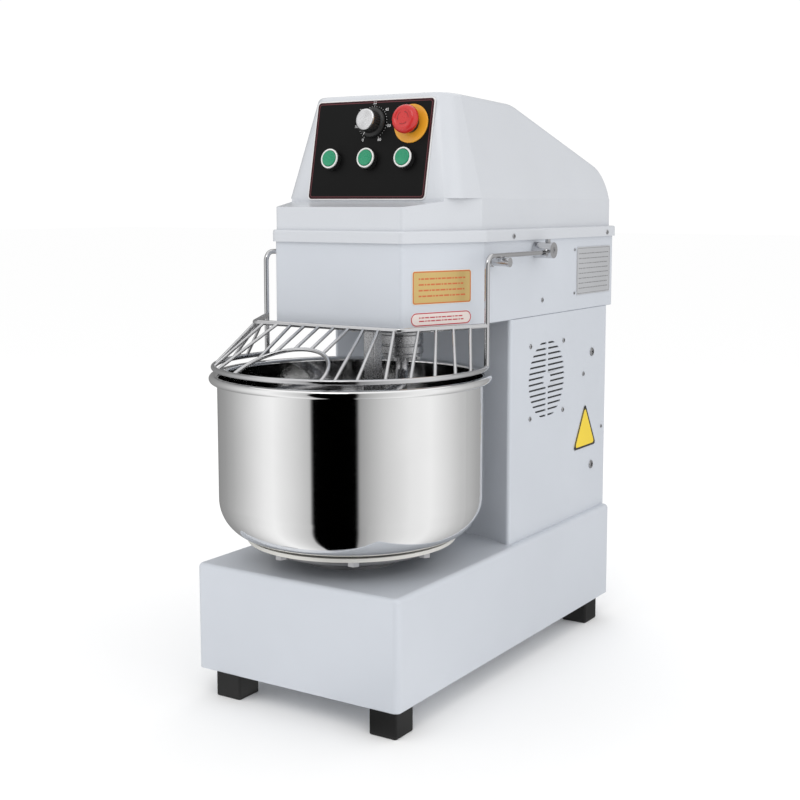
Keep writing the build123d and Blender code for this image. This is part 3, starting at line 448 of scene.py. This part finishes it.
def band(name, size, corner, line, placing, material, thickness=INK, lift=0.0):
    """A line of this width that runs round just inside a rounded rectangle; sizes are in millimetres."""
    width, height = size
    outer = rounded_outline(width * MM, height * MM, corner * MM)
    inner_corner = max(corner - line, 0.3)
    inner = rounded_outline((width - 2 * line) * MM, (height - 2 * line) * MM, inner_corner * MM)
    mesh = slab(outer, thickness, placing @ Matrix.Translation((0, 0, lift)), inner)
    return add_piece(name, mesh, "machine", material, smooth=False)


# ---- control plate --------------------------------------------------------------------------------------

PLATE_SHEET = 1.5 * MM
PLATE_WIDTH = 216
PLATE_HEIGHT = 154
panel_out = -Vector(joints["timer_dial"]["axis"])
plate_frame = facing(centre_of("control_plate") + panel_out * PLATE_SHEET / 2, panel_out, (1, 0, 0))


def on_plate(point):
    """The plate's frame moved to under this point."""
    local = plate_frame.inverted() @ Vector(point)
    return plate_frame @ Matrix.Translation((local.x, local.y, 0))


def turned(profile, placing, steps):
    """A mesh turned from (radius, height) points in millimetres."""
    return lathe([(radius * MM, height * MM) for radius, height in profile], placing, steps)


def make_plate_edges():
    """A pale edge round the plate, and two maroon lines inside it."""
    size = Vector((PLATE_WIDTH, PLATE_HEIGHT))
    pale_edge = size + Vector((4, 4))
    band(
        "plate_edge", pale_edge, 8, 2, plate_frame, white_ink,
        thickness=1.2 * MM, lift=-1.4 * MM,
    )
    band("plate_pinstripe", size - Vector((5, 5)), 5, 1.3, plate_frame, maroon)
    band("plate_border", size - Vector((0.6, 0.6)), 6, 0.8, plate_frame, maroon)


make_plate_edges()


# ---- timer ----------------------------------------------------------------------------------------------

DIAL_START = radians(240)
DIAL_STEP = radians(-50)
DIAL_NUMBERS = 7
TICKS_PER_NUMBER = 5
NUMBER_RADIUS = 31 * MM
TICK_RADIUS = 25 * MM
SKIRT = (
    (3, 0.4), (23, 0.4), (23.5, 1), (23.5, 3.2), (22.4, 5.2), (20.5, 6.2), (17, 6.6), (3, 6.6),
)
GRIP = ((17.6, 6), (17, 20.5), (16.2, 21.5))
FLUTES = 28
FLUTE_DEPTH = 0.55 * MM
TIMER_CAP = ((0, 23.3), (12, 23.3), (14.6, 23.4), (15.4, 23.2), (16.3, 22.4), (16.5, 21.5), (0, 21.5))
timer_frame = on_plate(joints["timer_dial"]["pos_m"])


def dial_number(text, placing, size):
    """A number on the dial, as a mesh."""
    curve = bpy.data.curves.new("dial_number", "FONT")
    curve.body = text
    curve.size = size
    curve.extrude = 0.05 * MM
    curve.align_x = "CENTER"
    curve.align_y = "CENTER"
    holder = bpy.data.objects.new("dial_number", curve)
    mesh = bpy.data.meshes.new_from_object(holder)
    bpy.data.objects.remove(holder)
    mesh.transform(placing)
    return mesh


def make_dial():
    """The numbers 0 to 60 and the ticks between them, over the range that the knob turns."""
    marks = []
    for count in range(DIAL_NUMBERS):
        angle = DIAL_START + DIAL_STEP * count
        place = (NUMBER_RADIUS * cos(angle), NUMBER_RADIUS * sin(angle), 0.06 * MM)
        marks.append(dial_number(str(10 * count), timer_frame @ Matrix.Translation(place), 6.5 * MM))
    for count in range((DIAL_NUMBERS - 1) * TICKS_PER_NUMBER + 1):
        length = 2.6 * MM if count % TICKS_PER_NUMBER == 0 else 1.5 * MM
        angle = DIAL_START + DIAL_STEP * count / TICKS_PER_NUMBER
        outwards = Matrix.Translation((TICK_RADIUS + length / 2, 0, 0))
        place = timer_frame @ Matrix.Rotation(angle, 4, "Z") @ outwards
        marks.append(slab(rounded_outline(length, 0.45 * MM, 0.1 * MM, 2), INK, place))
    add_piece("dial_marks", joined(marks), "machine", white_ink, smooth=False)


def fluted_grip():
    """The knob's grip, with flutes all round, a little narrower at its top."""
    steps = FLUTES * 8
    turns = [2 * pi * step / steps for step in range(steps)]
    shape = bmesh.new()
    rings = []
    for radius, height in GRIP:
        reach = [radius * MM + FLUTE_DEPTH * cos(FLUTES * turn) for turn in turns]
        points = [(r * cos(turn), r * sin(turn), height * MM) for r, turn in zip(reach, turns)]
        rings.append([shape.verts.new(point) for point in points])
    for low_ring, high_ring in zip(rings, rings[1:]):
        for step in range(steps):
            after = (step + 1) % steps
            shape.faces.new((low_ring[step], low_ring[after], high_ring[after], high_ring[step]))
    shape.faces.new(rings[0])
    shape.faces.new(rings[-1])
    bmesh.ops.recalc_face_normals(shape, faces=shape.faces)
    shape.transform(timer_frame)
    mesh = bpy.data.meshes.new("fluted")
    shape.to_mesh(mesh)
    shape.free()
    return mesh


def spun_metal():
    """Aluminium turned on its face, so its highlights fan out from the middle."""
    material = turned_metal("spun_cap", (0.74, 0.74, 0.75), 0.26, (0, 0), bump=0.004, rings=2500)
    tree = material.node_tree
    shader = tree.nodes["Principled BSDF"]
    shader.inputs["Anisotropic"].default_value = 0.85
    tangent = tree.nodes.new("ShaderNodeTangent")
    tangent.direction_type = "RADIAL"
    tangent.axis = "Z"
    tree.links.new(tangent.outputs["Tangent"], shader.inputs["Tangent"])
    return material


def make_knob():
    """The fluted knob, its white pointer and its spun cap."""
    mesh = joined([turned(SKIRT, timer_frame, 96), fluted_grip()])
    knob = add_piece("knob", mesh, "timer", finishes["black_plastic"])
    soften(knob)
    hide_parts("timer_knob")
    outwards = Matrix.Translation((20.4 * MM, 0, 6.25 * MM))
    place = timer_frame @ Matrix.Rotation(DIAL_START, 4, "Z") @ outwards
    pointer = slab(rounded_outline(4.6 * MM, 1.1 * MM, 0.4 * MM, 3), 0.3 * MM, place)
    add_piece("knob_pointer", pointer, "timer", white_ink, smooth=False)
    mesh = turned(TIMER_CAP, Matrix.Identity(4), 96)
    cap = add_piece("knob_cap", mesh, "timer", spun_metal())
    cap.matrix_world = timer_frame
    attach(cap, "timer")
    soften(cap)
    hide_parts("timer_cap")


make_dial()
make_knob()


# ---- push buttons and emergency stop --------------------------------------------------------------------

BUTTON_CAP = (
    (0, 12.1), (9.2, 12.1), (10.2, 12.6), (11.3, 12.7), (12.0, 12.2), (12.25, 11.4), (12.25, 6.5), (0, 6.5),
)
BUTTON_RING = (
    (12.9, 8.6), (12.9, 11.0), (13.2, 11.4), (14.9, 11.5), (15.4, 11.1), (15.5, 10.2), (15.5, 9), (15.2, 8.6),
    (12.9, 8.6),
)
MUSHROOM_DISH = 25.3
MUSHROOM = (
    (0, 12.5), (6, 12.5), (17, 13), (20.6, 13.6), (21.8, 14.8), (22, 17), (21.6, 20.5), (20.2, 23.8),
    (18.2, 25.6), (16, 26.4), (14.6, 26.5), (13.8, 25.9), (13, 25.5), (8, MUSHROOM_DISH), (0, MUSHROOM_DISH),
)
ARROW_RADIUS = 9.6 * MM
ARROW_WIDTH = 1.2 * MM
ARROW_SWEEP = radians(62)


def make_buttons():
    """Dished green caps in white rings."""
    rings = []
    for side in ("left", "middle", "right"):
        place = on_plate(centre_of(f"{side}_button"))
        mesh = turned(BUTTON_CAP, place, 72)
        green = finishes["green_plastic"]
        cap = add_piece(f"{side}_green_cap", mesh, f"{side}_push", green)
        soften(cap, 50)
        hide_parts(f"{side}_button")
        rings.append(turned(BUTTON_RING, place, 72))
    white = finishes["white_plastic"]
    white_rings = add_piece("white_rings", joined(rings), "machine", white)
    soften(white_rings, 50)
    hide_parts("button_rings")


def curved_arrow(start, placing):
    """A curved arrow about the placing's origin."""
    steps = 10
    turns = [start + ARROW_SWEEP * step / steps for step in range(steps + 1)]
    end = turns[-1]
    outer = ARROW_RADIUS + ARROW_WIDTH / 2
    inner = ARROW_RADIUS - ARROW_WIDTH / 2
    head = (
        (ARROW_RADIUS + ARROW_WIDTH * 1.3, end),
        (ARROW_RADIUS, end + ARROW_SWEEP / 3),
        (ARROW_RADIUS - ARROW_WIDTH * 1.3, end),
    )
    polar = [(outer, turn) for turn in turns]
    polar += head
    polar += [(inner, turn) for turn in reversed(turns)]
    return slab([(radius * cos(turn), radius * sin(turn)) for radius, turn in polar], INK, placing)


def make_stop():
    """The red mushroom with a dished top, and three plain arrows on it."""
    place = on_plate(centre_of("stop_button"))
    red = finishes["red_plastic"]
    mushroom = add_piece("stop_mushroom", turned(MUSHROOM, place, 96), "stop_push", red)
    soften(mushroom, 60)
    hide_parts("stop_button")
    dish = place @ Matrix.Translation((0, 0, MUSHROOM_DISH * MM))
    arrows = [curved_arrow(2 * pi * third / 3, dish) for third in range(3)]
    ink = surface("arrow_ink", (0.25, 0.01, 0.01), 0.5)
    add_piece("stop_arrows", joined(arrows), "stop_push", ink, smooth=False)


make_buttons()
make_stop()


# ---- labels ---------------------------------------------------------------------------------------------

# the head's right front face runs back from the nose at this slant
nose_across = Vector((0.056, 0.146, 0)).normalized()
nose_out = Vector((nose_across.y, -nose_across.x, 0))


def label_frame(node, normal, across, sheet):
    """A frame on the middle of a label's face; the label's thickness is in millimetres."""
    return facing(centre_of(node) + Vector(normal) * sheet * MM / 2, normal, across)


def plain_lines(name, rows, width, pitch, height, placing, material, top):
    """Rows of plain short bars where the real label is printed; sizes are in millimetres."""
    bars = []
    for row in range(rows):
        x = -width / 2
        count = 0
        while x < width / 2 - 4:
            length = min(3.0 + 2.2 * ((row * 7 + count * 5) % 4), width / 2 - x)
            place = placing @ Matrix.Translation(((x + length / 2) * MM, (top - row * pitch) * MM, 0))
            bars.append(slab(rounded_outline(length * MM, height * MM, 0.1 * MM, 2), INK, place))
            x += length + 1.6
            count += 1
    add_piece(name, joined(bars), "machine", material, smooth=False)


def make_badge():
    place = label_frame("head_badge", nose_out, nose_across, 1)
    band(
        "badge_edge", (112, 51), 6, 3, place, white_ink, thickness=0.6 * MM, lift=-0.9 * MM
    )
    band("badge_border", (109, 48), 4, 1.6, place, orange_ink)
    plain_lines("badge_lines", 4, 88, 8.5, 2.4, place, orange_ink, top=13)


def make_strip():
    place = label_frame("strip_label", nose_out, nose_across, 0.6)
    band("strip_border", (113.4, 19.4), 9.7, 1.5, place, red_ink)
    plain_lines("strip_lines", 2, 84, 5, 1.8, place, red_ink, top=2.5)


def make_rating():
    place = label_frame("rating_plate", (1, 0, 0), (0, 1, 0), 1)
    band("rating_border", (134, 79), 2, 0.7, place, grey_ink)
    plain_lines("rating_lines", 8, 122, 8.6, 1.4, place, grey_ink, top=30)


def make_hazard_border():
    """The dark line round the yellow triangle."""
    low_corner, high_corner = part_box("hazard_plate")
    place = facing(Vector((high_corner.x, 0, 0)), (1, 0, 0), (0, 1, 0))
    height = high_corner.z - low_corner.z
    centre = Vector(((low_corner.y + high_corner.y) / 2, low_corner.z + height * 0.36))
    reach = height * 0.70
    outline = []
    hole = []
    for corner in range(3):
        direction = pi / 2 + corner * 2 * pi / 3
        outwards = Vector((cos(direction), sin(direction)))
        for bend in (-1, 0, 1):
            round_off = Vector((cos(direction + bend), sin(direction + bend))) * 4 * MM
            for size, points in ((reach, outline), (reach * 0.86, hole)):
                points.append(tuple(centre + outwards * (size - 5 * MM) + round_off))
    mesh = slab(outline, INK, place, hole)
    add_piece("hazard_border", mesh, "machine", black_ink, smooth=False)


make_badge()
make_strip()
make_rating()
make_hazard_border()


# ---- screws ---------------------------------------------------------------------------------------------


def islands(node):
    """The lowest and highest corner of each separate solid in a CAD node."""
    shape = bmesh.new()
    shape.from_mesh(nodes[node].data)
    bmesh.ops.remove_doubles(shape, verts=shape.verts, dist=1e-6)
    left = set(shape.verts)
    found = []
    while left:
        stack = [left.pop()]
        group = [stack[0]]
        while stack:
            for edge in stack.pop().link_edges:
                for vertex in edge.verts:
                    if vertex in left:
                        left.discard(vertex)
                        stack.append(vertex)
                        group.append(vertex)
        corners = [v.co for v in group]
        found.append((Vector(map(min, zip(*corners))), Vector(map(max, zip(*corners)))))
    shape.free()
    return sorted(found, key=lambda pair: tuple(round(value, 5) for value in pair[0]))


def screw_heads(node, name):
    """Domed heads in place of a CAD node's plain ones, each topped by a dark cross that is painted shade for its
    recesses.
    """
    heads = []
    shade_crosses = []
    for number, (low_corner, high_corner) in enumerate(islands(node)):
        size = high_corner - low_corner
        thin = min(range(3), key=lambda axis: size[axis])
        radius = max(size) / 2
        middle = (low_corner + high_corner) / 2
        normal = Vector((0, 0, 0))
        normal[thin] = 1 if thin == 1 or middle.x > 0 else -1
        across = Vector((0, 1, 0)) if thin == 0 else Vector((1, 0, 0))
        place = facing(middle - normal * size[thin] / 2, normal, across)
        height = size[thin]
        dome = [(0, 0), (radius, 0), (radius, 0.35 * height), (0.9 * radius, 0.7 * height),
                (0.65 * radius, 0.93 * height), (0.3 * radius, height), (0, height)]
        heads.append(lathe(dome, place, 28))
        # each cross is a near-black sheet laid on the dome top: painted shade where the crossed recesses would lie
        # in shadow
        for quarter in (0, 1):
            turn = Matrix.Rotation(0.5 + 0.9 * number + quarter * pi / 2, 4, "Z")
            cut = place @ turn @ Matrix.Translation((0, 0, 0.88 * height))
            outline = rounded_outline(1.15 * radius, 0.26 * radius, 0.1 * radius, 2)
            shade_crosses.append(slab(outline, 0.14 * height, cut))
    body = add_piece(name, joined(heads), "machine", finishes["bolt_steel"])
    soften(body, 45)
    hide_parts(node)
    # the dark crosses are painted shade, not a cut into the heads
    add_piece(name + "_recess_shade", joined(shade_crosses), "machine", recess_shade_sheet, smooth=False)


screw_heads("casing_screws", "screws")
screw_heads("head_rivets", "rivets")


# ---- spiral hook ----------------------------------------------------------------------------------------

HOOK_BAR = 10.5 * MM


def hook_piece():
    """The hook's bar as one smooth winding, with its flange."""
    x, y = hook_centre[0], hook_centre[1]
    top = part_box("spiral_hook")[1].z
    turns = 1.45
    steps = 21
    points = [(x, y, top - 6 * MM), (x, y, top - 22 * MM), (x, y, top - 35.5 * MM)]
    for step in range(steps + 1):
        part_way = step / steps
        angle = radians(-60 - 360 * turns * part_way)
        opening = min(1, 0.55 + 0.45 * part_way * 6)
        closing = min(1, 0.52 + (1 - part_way) * 3.4)
        radius = 69 * MM * opening * closing
        points.append((x + radius * cos(angle), y + radius * sin(angle), (466 - 204 * part_way) * MM))
    curve = bpy.data.curves.new("hook_bar", "CURVE")
    curve.dimensions = "3D"
    curve.resolution_u = 12
    curve.bevel_depth = HOOK_BAR
    curve.bevel_resolution = 10
    curve.use_fill_caps = True
    spline = curve.splines.new("NURBS")
    spline.points.add(len(points) - 1)
    for number, (point, place) in enumerate(zip(spline.points, points)):
        point.co = (*place, 1)
        point.radius = 1.0 if number < len(points) - 3 else 0.96 - 0.14 * (number - len(points) + 3)
    spline.order_u = 4
    spline.use_endpoint_u = True
    holder = bpy.data.objects.new("hook_bar", curve)
    bar = bpy.data.meshes.new_from_object(holder)
    bpy.data.objects.remove(holder)
    flange_place = Matrix.Translation((x, y, top))
    flange_profile = (
        (0, 0), (31, 0), (32, -1), (32, -5), (31, -6), (14, -6), (11, -9), (0, -9),
    )
    flange = turned(flange_profile, flange_place, 72)
    hook = add_piece("hook_winding", joined([bar, flange]), "hook_turn", finishes["hook_steel"])
    soften(hook, 40)
    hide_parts("spiral_hook")


hook_piece()
